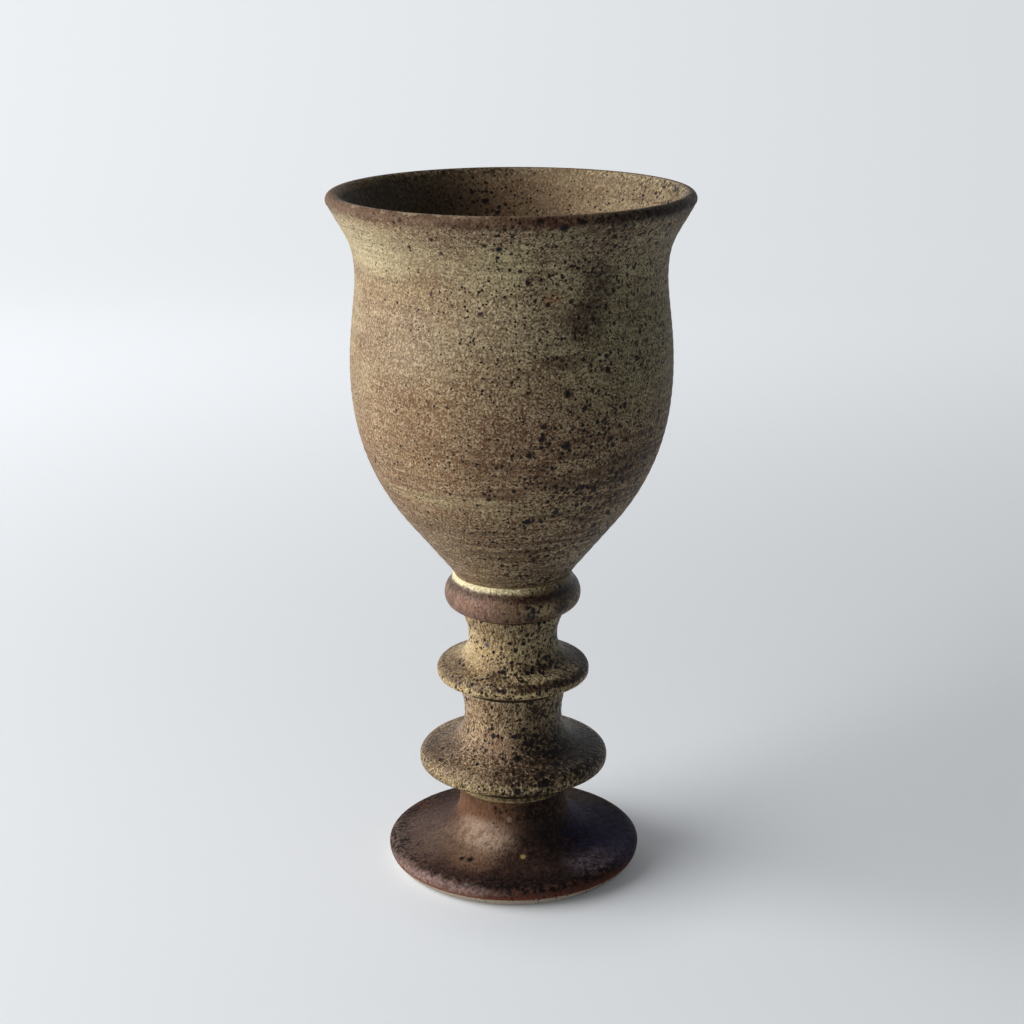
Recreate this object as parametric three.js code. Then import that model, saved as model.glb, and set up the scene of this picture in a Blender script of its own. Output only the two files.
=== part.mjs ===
// A thrown stoneware goblet: a bowl on a ringed stem and a spreading foot, luted together with slip.
// Millimetres, +Z up, the origin at the centre of the base.

import * as THREE from "three";

// Height of each thrown piece above the seam or table that it stands on
const footHeight = 22.3;
const lowerStemHeight = 24.35;
const upperStemHeight = 19.25;
const collarHeight = 9.45;
const bowlHeight = 93.05;

// Seams: the slip between two pieces, the groove tooled along it, and the radius where it shows
const slipThickness = 0.4;
const grooveDepth = 0.3;
const footSeamRadius = 14.5;
const stemSeamRadius = 13.3;
const collarSeamRadius = 12.55;
const bowlSeamRadius = 14.6;

// The bore up the stem, and the spigots that centre each piece in the one above it
const boreRadius = 5;
const spigotWall = 3;
const spigotHeight = 2.5;
const spigotClearance = 0.3;

// Foot: the brim beyond the seam, its rounded edge, the flat base ring and the recess turned inside it
const brimReach = 17.3;
const brimRise = 4.3;
const brimEdgeWidth = 3.5;
const brimEdgeHeight = 2;
const baseInset = 4;
const baseRingWidth = 4.5;
const recessWallRun = 1.5;
const recessWallRise = 1.75;
const recessDepth = 3.5;
const footNeckInset = 0.9;
const footNeckDrop = 5;

// Lower stem: the wide ring above the foot seam, undercut by an angle, and the neck below the stem seam
const lowerRingReach = 9.15;
const lowerRingRise = 5.3;
const lowerRingUndercut = 32;
const lowerRingEdgeWidth = 3.7;
const lowerRingEdgeHeight = 2.8;
const lowerNeckInset = 1.05;
const lowerNeckDrop = 7.55;

// Upper stem: the smaller ring above the stem seam, undercut less, and the neck below the collar seam
const upperRingReach = 5.7;
const upperRingRise = 3.8;
const upperRingUndercut = 23.5;
const upperRingEdgeWidth = 2.3;
const upperRingEdgeHeight = 2.2;
const upperNeckInset = 1.45;
const upperNeckDrop = 6.2;

// Collar: how far it swells beyond the seam under it, how high, and how high its shoulder is
const collarReach = 4.3;
const collarRise = 4;
const collarShoulderDrop = 1.75;
const collarShoulderReach = 0.6;

// Bowl outside: the cone above the seam, the belly below the throat, the throat below the rim, and the lip
const coneReach = 11;
const coneRise = 13.75;
const bellyRadius = 38.65;
const bellyDrop = 22;
const throatDepth = 1.65;
const throatDrop = 19.4;
const lipReach = 4.65;
const lipRoll = 1.65;
const lipFlareAngle = 62;

// Bowl inside: the thickness of the wall and of the floor
const throatWall = 3.5;
const bellyWall = 4.2;
const floorThickness = 8;
const floorFlatRadius = 15;

// How full the swept curves are, as shares of the span that each one covers
const undercutLeave = 0.88;
const undercutArrive = 0.72;
const rollLeave = 0.6;
const rollArrive = 0.55;
const baseRollLeave = 0.45;
const coveLeave = 0.55;
const coveArrive = 0.77;
const flareLeave = 0.5;
const flareArrive = 0.2;
const shoulderFullness = 0.55;
const bellyLeave = 0.47;
const bellyArrive = 0.28;
const throatLeave = 0.43;
const throatArrive = 0.25;
const lipFullness = 0.49;
const cupArrive = 0.62;
const edgeTurn = 75;

// Facets around a piece and along each curve
const facetsAround = 48;
const shortSteps = 3;
const curveSteps = 5;
const longSteps = 8;

// Glazes and clays as they show on each piece
const khakiGlaze = { color: 0x8a7552, roughness: 0.5, metalness: 0 };
const roseBrownGlaze = { color: 0x83644f, roughness: 0.45, metalness: 0 };
const creamGlaze = { color: 0x9a8a66, roughness: 0.55, metalness: 0 };
const oliveGlaze = { color: 0x86764f, roughness: 0.5, metalness: 0 };
const chocolateGlaze = { color: 0x4a3629, roughness: 0.45, metalness: 0 };
const firedSlip = { color: 0x3a2c22, roughness: 0.8, metalness: 0 };

const spigotRadius = boreRadius + spigotWall;
const socketRadius = spigotRadius + spigotClearance;
const socketDepth = spigotHeight + spigotClearance;

// A point of an outline: its distance from the axis and its height
function at(radius, height) {
  return new THREE.Vector2(radius, height);
}

// A smooth stretch between two points of an outline, without the first of them
function sweep(from, leave, arrive, to, steps) {
  const leaving = from.clone().add(leave);
  const arriving = to.clone().sub(arrive);
  return new THREE.CubicBezierCurve(from, leaving, arriving, to).getPoints(steps).slice(1);
}

// An elliptical stretch about a centre, between two angles in degrees, without its first point
function turn(centre, width, height, fromAngle, toAngle, steps) {
  const start = THREE.MathUtils.degToRad(fromAngle);
  const end = THREE.MathUtils.degToRad(toAngle);
  const clockwise = toAngle < fromAngle;
  return new THREE.EllipseCurve(centre.x, centre.y, width, height, start, end, clockwise)
    .getPoints(steps)
    .slice(1);
}

// Turns an outline about the upright axis
function thrown(name, outline, glaze) {
  const geometry = new THREE.LatheGeometry(outline, facetsAround);
  geometry.rotateX(Math.PI / 2);
  const mesh = new THREE.Mesh(geometry, new THREE.MeshStandardMaterial(glaze));
  mesh.name = name;
  return mesh;
}

// The hidden seat under a piece, from the bore or axis out to the bevel at its seam
function socketSeat(innerRadius, seamRadius) {
  return [
    at(innerRadius, socketDepth),
    at(socketRadius, socketDepth),
    at(socketRadius, 0),
    at(seamRadius - grooveDepth, 0),
    at(seamRadius, grooveDepth),
  ];
}

// The top of a piece, from the bevel at its seam in over the spigot to the bore
function spigotTop(seamRadius, height) {
  const shoulder = height + slipThickness + spigotHeight;
  return [
    at(seamRadius - grooveDepth, height),
    at(spigotRadius, height),
    at(spigotRadius, shoulder),
    at(boreRadius, shoulder),
  ];
}

// The underside of a ring, sloping up and out from the seam and rolling round to its widest point
function ringUnderside(seamRadius, ringRadius, rise, undercut) {
  const seam = at(seamRadius, grooveDepth);
  const widest = at(ringRadius, rise);
  const angle = THREE.MathUtils.degToRad(undercut);
  const slope = at(Math.cos(angle), Math.sin(angle));
  const leave = slope.multiplyScalar((ringRadius - seamRadius) * undercutLeave);
  const arrive = at(0, (rise - grooveDepth) * undercutArrive);
  return sweep(seam, leave, arrive, widest, curveSteps);
}

// The top of a ring: its rounded edge, then a cove up to the neck and a flare to the seam above
function ringTop(ringRadius, rise, edgeWidth, edgeHeight, neckInset, neckDrop, seamRadius, height) {
  const neck = at(seamRadius - neckInset, height - neckDrop);
  const edge = turn(at(ringRadius - edgeWidth, rise), edgeWidth, edgeHeight, 0, edgeTurn, shortSteps);
  const edgeEnd = edge[edge.length - 1];
  const angle = THREE.MathUtils.degToRad(edgeTurn);
  const along = at(-edgeWidth * Math.sin(angle), edgeHeight * Math.cos(angle)).normalize();
  const coveStart = along.multiplyScalar((edgeEnd.x - neck.x) * coveLeave);
  const coveEnd = at(0, (neck.y - edgeEnd.y) * coveArrive);
  const seam = at(seamRadius, height - grooveDepth);
  const flareStart = at(0, (seam.y - neck.y) * flareLeave);
  const flareEnd = at(0, (seam.y - neck.y) * flareArrive);
  return [
    ...edge,
    ...sweep(edgeEnd, coveStart, coveEnd, neck, curveSteps),
    ...sweep(neck, flareStart, flareEnd, seam, shortSteps),
  ];
}

function closed(outline) {
  return [...outline, outline[0].clone()];
}

// The slip left in a seam, back to the bottom of the tooled groove
function slip(name, seamRadius) {
  const outerRadius = seamRadius - grooveDepth;
  const outline = [
    at(socketRadius, 0),
    at(outerRadius, 0),
    at(outerRadius, slipThickness),
    at(socketRadius, slipThickness),
  ];
  return thrown(name, closed(outline), firedSlip);
}

function foot() {
  const brimRadius = footSeamRadius + brimReach;
  const baseRadius = brimRadius - baseInset;
  const recessRadius = baseRadius - baseRingWidth;
  const base = at(baseRadius, 0);
  const brim = at(brimRadius, brimRise);
  const outline = [
    at(boreRadius, recessDepth),
    at(recessRadius - recessWallRun, recessWallRise),
    at(recessRadius, 0),
    base,
    ...sweep(base, at(baseInset * baseRollLeave, 0), at(0, brimRise * rollArrive), brim, curveSteps),
    ...ringTop(
      brimRadius, brimRise, brimEdgeWidth, brimEdgeHeight,
      footNeckInset, footNeckDrop, footSeamRadius, footHeight,
    ),
    ...spigotTop(footSeamRadius, footHeight),
  ];
  return thrown("foot", closed(outline), chocolateGlaze);
}

function lowerStem() {
  const ringRadius = footSeamRadius + lowerRingReach;
  const outline = [
    ...socketSeat(boreRadius, footSeamRadius),
    ...ringUnderside(footSeamRadius, ringRadius, lowerRingRise, lowerRingUndercut),
    ...ringTop(
      ringRadius, lowerRingRise, lowerRingEdgeWidth, lowerRingEdgeHeight,
      lowerNeckInset, lowerNeckDrop, stemSeamRadius, lowerStemHeight,
    ),
    ...spigotTop(stemSeamRadius, lowerStemHeight),
  ];
  return thrown("lower_stem", closed(outline), oliveGlaze);
}

function upperStem() {
  const ringRadius = stemSeamRadius + upperRingReach;
  const outline = [
    ...socketSeat(boreRadius, stemSeamRadius),
    ...ringUnderside(stemSeamRadius, ringRadius, upperRingRise, upperRingUndercut),
    ...ringTop(
      ringRadius, upperRingRise, upperRingEdgeWidth, upperRingEdgeHeight,
      upperNeckInset, upperNeckDrop, collarSeamRadius, upperStemHeight,
    ),
    ...spigotTop(collarSeamRadius, upperStemHeight),
  ];
  return thrown("upper_stem", closed(outline), creamGlaze);
}

function collarRing() {
  const collarRadius = collarSeamRadius + collarReach;
  const seam = at(collarSeamRadius, grooveDepth);
  const widest = at(collarRadius, collarRise);
  const shoulder = at(bowlSeamRadius + collarShoulderReach, collarHeight - collarShoulderDrop);
  const shoulderRise = shoulder.y - widest.y;
  const shoulderRun = shoulder.x - widest.x;
  const outline = [
    ...socketSeat(boreRadius, collarSeamRadius),
    ...sweep(
      seam, at(collarReach * rollLeave, 0),
      at(0, (collarRise - grooveDepth) * rollArrive), widest, curveSteps,
    ),
    ...sweep(
      widest, at(0, shoulderRise * shoulderFullness),
      at(shoulderRun * shoulderFullness, shoulderRise * flareArrive), shoulder, curveSteps,
    ),
    at(bowlSeamRadius, collarHeight - grooveDepth),
    ...spigotTop(bowlSeamRadius, collarHeight),
  ];
  return thrown("collar_ring", closed(outline), roseBrownGlaze);
}

function bowl() {
  const seam = at(bowlSeamRadius, grooveDepth);
  const cone = at(bowlSeamRadius + coneReach, coneRise);
  const throat = at(bellyRadius - throatDepth, bowlHeight - throatDrop);
  const belly = at(bellyRadius, throat.y - bellyDrop);
  const bellyRise = belly.y - cone.y;
  const throatRise = throat.y - belly.y;

  // The lip is a half round across the end of the flaring wall
  const lipCentre = at(throat.x + lipReach, bowlHeight - lipRoll);
  const flare = THREE.MathUtils.degToRad(lipFlareAngle);
  const flareWay = at(Math.cos(flare), Math.sin(flare));
  const across = at(Math.sin(flare), -Math.cos(flare)).multiplyScalar(lipRoll);
  const lipOutside = lipCentre.clone().add(across);
  const lipInside = lipCentre.clone().sub(across);
  const crestAngle = 90;
  const lipStartAngle = lipFlareAngle - crestAngle;
  const lipEndAngle = lipFlareAngle + crestAngle;
  const lipHandle = (lipOutside.y - throat.y) * lipFullness;

  const throatInside = at(throat.x - throatWall, throat.y);
  const bellyInside = at(belly.x - bellyWall, belly.y);
  const floor = at(0, floorThickness);
  const cupDepth = bellyInside.y - floor.y;

  const coneHandle = cone.clone().sub(seam).setLength(bellyRise * bellyLeave);
  const flareHandle = flareWay.clone().multiplyScalar(lipHandle);
  const up = (length) => at(0, length);
  const down = (length) => at(0, -length);
  const outline = [
    ...socketSeat(0, bowlSeamRadius),
    cone,
    ...sweep(cone, coneHandle, up(bellyRise * bellyArrive), belly, longSteps),
    ...sweep(belly, up(throatRise * throatLeave), up(throatRise * throatArrive), throat, curveSteps),
    ...sweep(throat, up(lipHandle), flareHandle, lipOutside, curveSteps),
    ...turn(lipCentre, lipRoll, lipRoll, lipStartAngle, crestAngle, shortSteps),
    ...turn(lipCentre, lipRoll, lipRoll, crestAngle, lipEndAngle, shortSteps),
    ...sweep(lipInside, flareHandle.clone().negate(), down(lipHandle), throatInside, curveSteps),
    ...sweep(
      throatInside, down(throatRise * throatArrive),
      down(throatRise * throatLeave), bellyInside, curveSteps,
    ),
    ...sweep(bellyInside, down(cupDepth * cupArrive), at(-floorFlatRadius, 0), floor, longSteps),
  ];
  return thrown("bowl", outline, khakiGlaze);
}

// The pieces from the table up, each one carrying the rest on its top face
const stack = [
  { piece: foot(), height: footHeight },
  { piece: slip("foot_seam_slip", footSeamRadius), height: slipThickness },
  { piece: lowerStem(), height: lowerStemHeight },
  { piece: slip("stem_seam_slip", stemSeamRadius), height: slipThickness },
  { piece: upperStem(), height: upperStemHeight },
  { piece: slip("collar_seam_slip", collarSeamRadius), height: slipThickness },
  { piece: collarRing(), height: collarHeight },
  { piece: slip("bowl_seam_slip", bowlSeamRadius), height: slipThickness },
  { piece: bowl(), height: bowlHeight },
];

const goblet = new THREE.Group();
let level = goblet;
for (const { piece, height } of stack) {
  level.add(piece);
  const next = new THREE.Group();
  next.position.z = height;
  level.add(next);
  level = next;
}

export default goblet;
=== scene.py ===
# Thrown stoneware goblet: a speckled khaki bowl on a ringed stem and a dark spreading foot.
import math
from functools import partial

import bpy
from mathutils import Matrix, Vector
from mathutils.geometry import interpolate_bezier


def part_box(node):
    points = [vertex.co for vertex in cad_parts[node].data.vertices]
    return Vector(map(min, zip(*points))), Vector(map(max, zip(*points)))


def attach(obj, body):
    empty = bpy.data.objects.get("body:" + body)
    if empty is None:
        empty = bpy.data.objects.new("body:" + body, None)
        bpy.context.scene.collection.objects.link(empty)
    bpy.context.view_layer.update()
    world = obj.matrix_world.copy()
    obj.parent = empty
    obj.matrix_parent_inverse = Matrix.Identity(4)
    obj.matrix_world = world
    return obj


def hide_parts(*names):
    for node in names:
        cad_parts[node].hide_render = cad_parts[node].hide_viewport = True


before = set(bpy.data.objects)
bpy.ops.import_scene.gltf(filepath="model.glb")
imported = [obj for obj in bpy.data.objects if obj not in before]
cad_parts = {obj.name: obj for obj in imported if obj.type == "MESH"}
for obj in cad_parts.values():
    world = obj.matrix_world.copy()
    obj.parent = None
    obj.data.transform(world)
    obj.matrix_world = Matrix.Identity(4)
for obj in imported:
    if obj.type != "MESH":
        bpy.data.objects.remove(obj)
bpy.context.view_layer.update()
mm = 0.001
print("frame loaded:", len(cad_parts), "nodes")


def linear(hexColour):  # sRGB hex to the linear colour that a socket takes
    shares = [int(hexColour[i:i + 2], 16) / 255 for i in (1, 3, 5)]
    return [s / 12.92 if s <= 0.04045 else ((s + 0.055) / 1.055) ** 2.4 for s in shares] + [1.0]


smooth = {"interpolation_type": "SMOOTHSTEP"}  # for masks that start and end softly


def addNode(tree, kind, inputs=None, operation=None, **settings):  # the outputs of a node set up in one call
    node = tree.nodes.new(kind)
    if operation:
        node.operation = operation
    for name, value in settings.items():
        setattr(node, name, value)
    for key, value in (inputs or {}).items():
        if isinstance(value, bpy.types.NodeSocket):
            tree.links.new(value, node.inputs[key])
        else:
            node.inputs[key].default_value = value
    return node.outputs


# Outlines: points of radius and height in mm, how much of the thrower's hand shows, and 1 within the cup

handShows = {"thrown": 1.0, "inside": 0.8, "trimmed": 0.4, "smooth": 0.0}


def sweep(start, leave, arrive, end, step, fewest=3):  # a smooth stretch, without its first point
    steps = max(fewest, math.ceil((end - start).length / step))
    return interpolate_bezier(start, start + leave, end - arrive, end, steps + 1)[1:]


def arc(centre, width, height, fromAngle, toAngle, step, fewest=6):  # part of an ellipse, likewise
    steps = max(fewest, math.ceil(math.radians(abs(toAngle - fromAngle)) * max(width, height) / step))
    angles = [math.radians(fromAngle + (toAngle - fromAngle) * i / steps) for i in range(1, steps + 1)]
    return [centre + Vector((width * math.cos(a), height * math.sin(a))) for a in angles]


def worked(points, hand, within=0.0):  # a stretch in sight
    return [(p.x, p.y, handShows[hand], within) for p in points]


def hidden(*points):  # a stretch inside a joint or below the foot
    return [(r, z, handShows["smooth"], 0.0) for r, z in points]


joint = {  # the bore up the stem and the spigots that centre the pieces, out of sight once luted
    "bore": 5.0,
    "spigot": 8.0,
    "spigotRise": 2.9,
    "socket": 8.3,
    "socketRise": 2.8,
    "groove": 0.3,  # tooled along each seam
}


def seamOf(node):  # bottom, top and surface radius of a slip seam, from the frame
    low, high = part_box(node)
    return low.z / mm, high.z / mm, high.x / mm + joint["groove"]


seamNodes = ("foot_seam_slip", "stem_seam_slip", "collar_seam_slip", "bowl_seam_slip")
footSeam, stemSeam, collarSeam, bowlSeam = (seamOf(node) for node in seamNodes)


def socketSeat(inner, seam):  # the underside that sits on a seam
    base, radius = seam[1], seam[2]
    return hidden(
        (inner, base + joint["socketRise"]),
        (joint["socket"], base + joint["socketRise"]),
        (joint["socket"], base),
        (radius - joint["groove"], base),
        (radius, base + joint["groove"]),
    )


def spigotTop(seam):  # the top that carries a seam
    top, radius = seam[0], seam[2]
    return hidden(
        (radius - joint["groove"], top),
        (joint["spigot"], top),
        (joint["spigot"], top + joint["spigotRise"]),
        (joint["bore"], top + joint["spigotRise"]),
    )


def ringTop(ring, seam):  # a ring's rounded edge, the cove up to its neck and the flare to the seam above
    step = ring["step"]
    edgeCentre = Vector((ring["radius"] - ring["edgeWidth"], ring["widestAt"]))
    edge = arc(edgeCentre, ring["edgeWidth"], ring["edgeHeight"], 0, ring["edgeTurn"], step)
    turn = math.radians(ring["edgeTurn"])
    along = Vector((-ring["edgeWidth"] * math.sin(turn), ring["edgeHeight"] * math.cos(turn))).normalized()
    neck = Vector((seam[2] - ring["neckInset"], seam[0] - ring["neckDrop"]))
    lip = Vector((seam[2], seam[0] - joint["groove"]))
    crown = []
    if ring["bead"]:
        centre = lip - Vector((ring["bead"], ring["bead"] + ring["crease"]))
        crown = arc(centre, ring["bead"], ring["bead"], *ring["beadTurn"], step / 2)
        lip = centre - Vector((0, ring["bead"]))
    edgeEnd = edge[-1]
    cove = sweep(
        edgeEnd, along * (edgeEnd.x - neck.x) * ring["coveLeave"],
        Vector((0, (neck.y - edgeEnd.y) * ring["coveArrive"])), neck, step,
    )
    rise = lip.y - neck.y
    flare = sweep(
        neck, Vector((0, rise * ring["flareLeave"])), Vector((0, rise * ring["flareArrive"])), lip, step,
    )
    return worked(edge, "trimmed") + worked(cove + flare, "thrown") + worked(crown, "trimmed")


def ringUnderside(ring, seam):  # slopes up and out from the seam, then rolls round to the widest point
    start = Vector((seam[2], seam[1] + joint["groove"]))
    widest = Vector((ring["radius"], ring["widestAt"]))
    slope = math.radians(ring["undercut"])
    leave = Vector((math.cos(slope), math.sin(slope))) * (widest.x - start.x) * ring["rollLeave"]
    arrive = Vector((0, (widest.y - start.y) * ring["rollArrive"]))
    return worked(sweep(start, leave, arrive, widest, ring["step"]), "trimmed")


# The wheel: a tree that turns an outline about the axis and leaves throwing lines in it

wheelTuning = {"driftDetail": 1.0, "driftRoughness": 0.4, "wander": 9.0, "weld": 0.001, "crispAngle": 32.0}


def buildWheel(tuning):
    tree = bpy.data.node_groups.new("wheelThrown", "GeometryNodeTree")
    put = partial(addNode, tree)
    inputs = (
        ("Outline", "NodeSocketGeometry"),
        ("Facets", "NodeSocketInt"),
        ("Line Spacing", "NodeSocketFloat"),
        ("Line Depth", "NodeSocketFloat"),
        ("Unevenness", "NodeSocketFloat"),
        ("Uneven Size", "NodeSocketFloat"),
        ("Seed", "NodeSocketFloat"),
        ("Glaze", "NodeSocketMaterial"),
    )
    for name, kind in inputs:
        tree.interface.new_socket(name=name, in_out="INPUT", socket_type=kind)
    tree.interface.new_socket(name="Piece", in_out="OUTPUT", socket_type="NodeSocketGeometry")
    given = put("NodeGroupInput")
    position = put("GeometryNodeInputPosition")[0]

    # a sheet with one column for each outline point and one row for each facet
    count = put("GeometryNodeAttributeDomainSize", {0: given["Outline"]}, component="MESH")[0]
    rows = put("ShaderNodeMath", {0: given["Facets"], 1: 1.0}, "ADD")[0]
    sheet = put("GeometryNodeMeshGrid", {0: 1.0, 1: 1.0, 2: count, 3: rows})[0]
    across = put("ShaderNodeVectorMath", {0: position, 1: (0.5, 0.5, 0.0)}, "ADD")[0]
    share = put("ShaderNodeSeparateXYZ", {0: across})
    last = put("ShaderNodeMath", {0: count, 1: 1.0}, "SUBTRACT")[0]
    column = put("ShaderNodeMath", {0: share[0], 1: last}, "MULTIPLY")[0]
    column = put("ShaderNodeMath", {0: column}, "ROUND")[0]
    angle = put("ShaderNodeMath", {0: share[1], 1: -math.tau}, "MULTIPLY")[0]

    # each column takes its outline point's place, how much of the hand shows and if it is within the cup
    for name in ("hand", "within"):
        value = put("GeometryNodeInputNamedAttribute", {"Name": name}, data_type="FLOAT")[0]
        taken = put(
            "GeometryNodeSampleIndex",
            {"Geometry": given["Outline"], "Value": value, "Index": column}, data_type="FLOAT",
        )[0]
        sheet = put(
            "GeometryNodeStoreNamedAttribute",
            {"Geometry": sheet, "Name": name, "Value": taken}, data_type="FLOAT",
        )[0]
    point = put(
        "GeometryNodeSampleIndex",
        {"Geometry": given["Outline"], "Value": position, "Index": column}, data_type="FLOAT_VECTOR",
    )[0]
    turned = put("ShaderNodeVectorRotate", {"Vector": point, "Angle": angle}, rotation_type="Z_AXIS")[0]
    hollow = put("GeometryNodeSetPosition", {"Geometry": sheet, "Position": turned})[0]
    joined = put("GeometryNodeMergeByDistance", {"Geometry": hollow, "Distance": tuning["weld"] * mm})[0]

    # throwing lines climb in a spiral, fade in and out, and only ever cut inwards
    spot = put("ShaderNodeSeparateXYZ", {0: position})
    bearing = put("ShaderNodeMath", {0: spot[1], 1: spot[0]}, "ARCTAN2")[0]
    climb = put("ShaderNodeMath", {0: spot[2], 1: given["Line Spacing"]}, "DIVIDE")[0]
    phase = put("ShaderNodeMath", {0: climb, 1: math.tau, 2: bearing}, "MULTIPLY_ADD")[0]
    shifted = put("ShaderNodeVectorMath", {0: position, 1: given["Seed"]}, "ADD")[0]
    fineness = put("ShaderNodeMath", {0: 1.0, 1: given["Uneven Size"]}, "DIVIDE")[0]
    drift = put(
        "ShaderNodeTexNoise",
        {"Vector": shifted, "Scale": fineness, "Detail": tuning["driftDetail"],
         "Roughness": tuning["driftRoughness"]},
    )[0]
    wander = put("ShaderNodeMath", {0: drift, 1: tuning["wander"], 2: phase}, "MULTIPLY_ADD")[0]
    wave = put("ShaderNodeMath", {0: wander}, "SINE")[0]
    trough = put("ShaderNodeMapRange", {"Value": wave, "From Min": -1.0, "From Max": 1.0})[0]
    lines = put("ShaderNodeMath", {0: trough, 1: given["Line Depth"]}, "MULTIPLY")[0]
    lines = put("ShaderNodeMath", {0: lines, 1: drift}, "MULTIPLY")[0]
    uneven = put("ShaderNodeMath", {0: drift, 1: given["Unevenness"], 2: lines}, "MULTIPLY_ADD")[0]
    handHere = put("GeometryNodeInputNamedAttribute", {"Name": "hand"}, data_type="FLOAT")[0]
    depth = put("ShaderNodeMath", {0: uneven, 1: handHere}, "MULTIPLY")[0]
    inward = put("ShaderNodeMath", {0: depth, 1: -1.0}, "MULTIPLY")[0]
    normal = put("GeometryNodeInputNormal")[0]
    offset = put("ShaderNodeVectorMath", {0: normal, "Scale": inward}, "SCALE")[0]
    shaped = put("GeometryNodeSetPosition", {"Geometry": joined, "Offset": offset})[0]

    # smooth all over, with the tooled corners left crisp
    bend = put("GeometryNodeInputMeshEdgeAngle")[0]
    crisp = math.radians(tuning["crispAngle"])
    corner = put("FunctionNodeCompare", {0: bend, 1: crisp}, "GREATER_THAN")[0]
    for domain, chosen, soft in (("FACE", True, True), ("EDGE", corner, False)):
        shaped = put(
            "GeometryNodeSetShadeSmooth",
            {"Geometry": shaped, "Selection": chosen, "Shade Smooth": soft}, domain=domain,
        )[0]
    clean = put("GeometryNodeRemoveAttribute", {"Geometry": shaped, "Name": "hand"})[0]
    real = put("GeometryNodeRealizeInstances", {"Geometry": clean})[0]
    glazed = put("GeometryNodeSetMaterial", {"Geometry": real, "Material": given["Glaze"]})[0]
    put("NodeGroupOutput", {0: glazed})
    return tree


wheel = buildWheel(wheelTuning)
print("wheel tree built:", len(wheel.nodes), "nodes")


def throwPiece(name, outline, hand, glaze):  # turns an outline and keeps the result as a plain mesh
    flat = bpy.data.meshes.new(name)
    flat.from_pydata(
        [(r * mm, 0, z * mm) for r, z, _, _ in outline],
        [(i, i + 1) for i in range(len(outline) - 1)], [],
    )
    for column, attribute in ((2, "hand"), (3, "within")):
        values = flat.attributes.new(attribute, "FLOAT", "POINT").data
        values.foreach_set("value", [p[column] for p in outline])
    piece = bpy.data.objects.new(name, flat)
    bpy.context.scene.collection.objects.link(piece)
    modifier = piece.modifiers.new("wheel", "NODES")
    modifier.node_group = wheel
    sockets = {s.name: s.identifier for s in wheel.interface.items_tree if s.in_out == "INPUT"}
    settings = {
        "Facets": hand["facets"],
        "Line Spacing": hand["lineSpacing"] * mm,
        "Line Depth": hand["lineDepth"] * mm,
        "Unevenness": hand["unevenness"] * mm,
        "Uneven Size": hand["unevenSize"] * mm,
        "Seed": hand["seed"],
        "Glaze": glaze,
    }
    for key, value in settings.items():
        modifier[sockets[key]] = value
    depsgraph = bpy.context.evaluated_depsgraph_get()
    turned = bpy.data.meshes.new_from_object(piece.evaluated_get(depsgraph), depsgraph=depsgraph)
    piece.modifiers.clear()
    piece.data = turned
    print("thrown:", name, len(turned.polygons), "faces")
    return piece


# Glaze patterns: each gives a mask from 0 to 1, and wash lays a colour by masks

maskCut = {
    "noiseMiddle": 0.5, "cloudRoughness": 0.55, "cloudShift": (0.37, 0.73, 0.19),
    "speckShift": (0.31, 0.17, 0.53), "speckCore": 0.6, "speckRim": 1.15, "patchCore": 0.3, "patchRim": 1.05,
}

cloudKinds = {  # where each is cut, how far its seed is from the glaze's own, its detail and its stretch
    "cloud": (0.36, 0.64, 0, 2.0, (1, 1, 1)),
    "streak": (0.44, 0.62, 1, 4.0, (0.07, 0.07, 1)),
    "drift": (0.3, 0.7, 2, 3.0, (1, 1, 1)),
    "smoke": (0.4, 0.7, 4, 3.0, (1, 1, 1)),
    "peel": (0.3, 0.7, 5, 2.0, (1, 1, 1)),
    "cluster": (0.35, 0.65, 6, 2.0, (1, 1, 1)),
    "pit": (0.3, 0.7, 7, 1.0, (1, 1, 1)),
    "blotch": (0.42, 0.66, 8, 3.0, (0.3, 0.3, 1)),
}


def cloud(put, place, size, low, high, seed, detail=2.0, stretch=(1, 1, 1)):  # soft islands of about size mm
    shift = [seed * share for share in maskCut["cloudShift"]]
    moved = put("ShaderNodeMapping", {"Vector": place, "Location": shift, "Scale": stretch})[0]
    noise = put(
        "ShaderNodeTexNoise",
        {"Vector": moved, "Scale": 1 / (size * mm), "Detail": detail, "Roughness": maskCut["cloudRoughness"]},
    )[0]
    return put("ShaderNodeMapRange", {"Value": noise, "From Min": low, "From Max": high}, **smooth)[0]


def specks(put, place, spacing, small, large, rarity, thick, seed):  # iron spots of mixed radius, in mm
    shift = [seed * share for share in maskCut["speckShift"]]
    moved = put("ShaderNodeVectorMath", {0: place, 1: shift}, "ADD")[0]
    cells = put("ShaderNodeTexVoronoi", {"Vector": moved, "Scale": 1 / (spacing * mm)}, feature="F1")
    chance = put("ShaderNodeSeparateColor", {0: cells["Color"]})[0]
    few = put("ShaderNodeMath", {0: chance, 1: rarity}, "POWER")[0]
    size = put(
        "ShaderNodeMapRange", {"Value": few, "To Min": small / spacing, "To Max": large / spacing},
    )[0]
    size = put("ShaderNodeMath", {0: size, 1: thick}, "MULTIPLY")[0]
    reach = put("ShaderNodeMath", {0: cells["Distance"], 1: size}, "DIVIDE")[0]
    return put(
        "ShaderNodeMapRange",
        {"Value": reach, "From Min": maskCut["speckCore"], "From Max": maskCut["speckRim"],
         "To Min": 1.0, "To Max": 0.0}, **smooth,
    )[0]


def band(put, height, low, high, soft):  # a ring of colour between two heights in mm, with soft borders
    sides = [
        put(
            "ShaderNodeMapRange",
            {"Value": height, "From Min": (at - soft) * mm, "From Max": (at + soft) * mm,
             "To Min": first, "To Max": 1 - first}, **smooth,
        )[0] for at, first in ((low, 0.0), (high, 1.0))
    ]
    return put("ShaderNodeMath", {0: sides[0], 1: sides[1]}, "MULTIPLY")[0]


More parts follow.
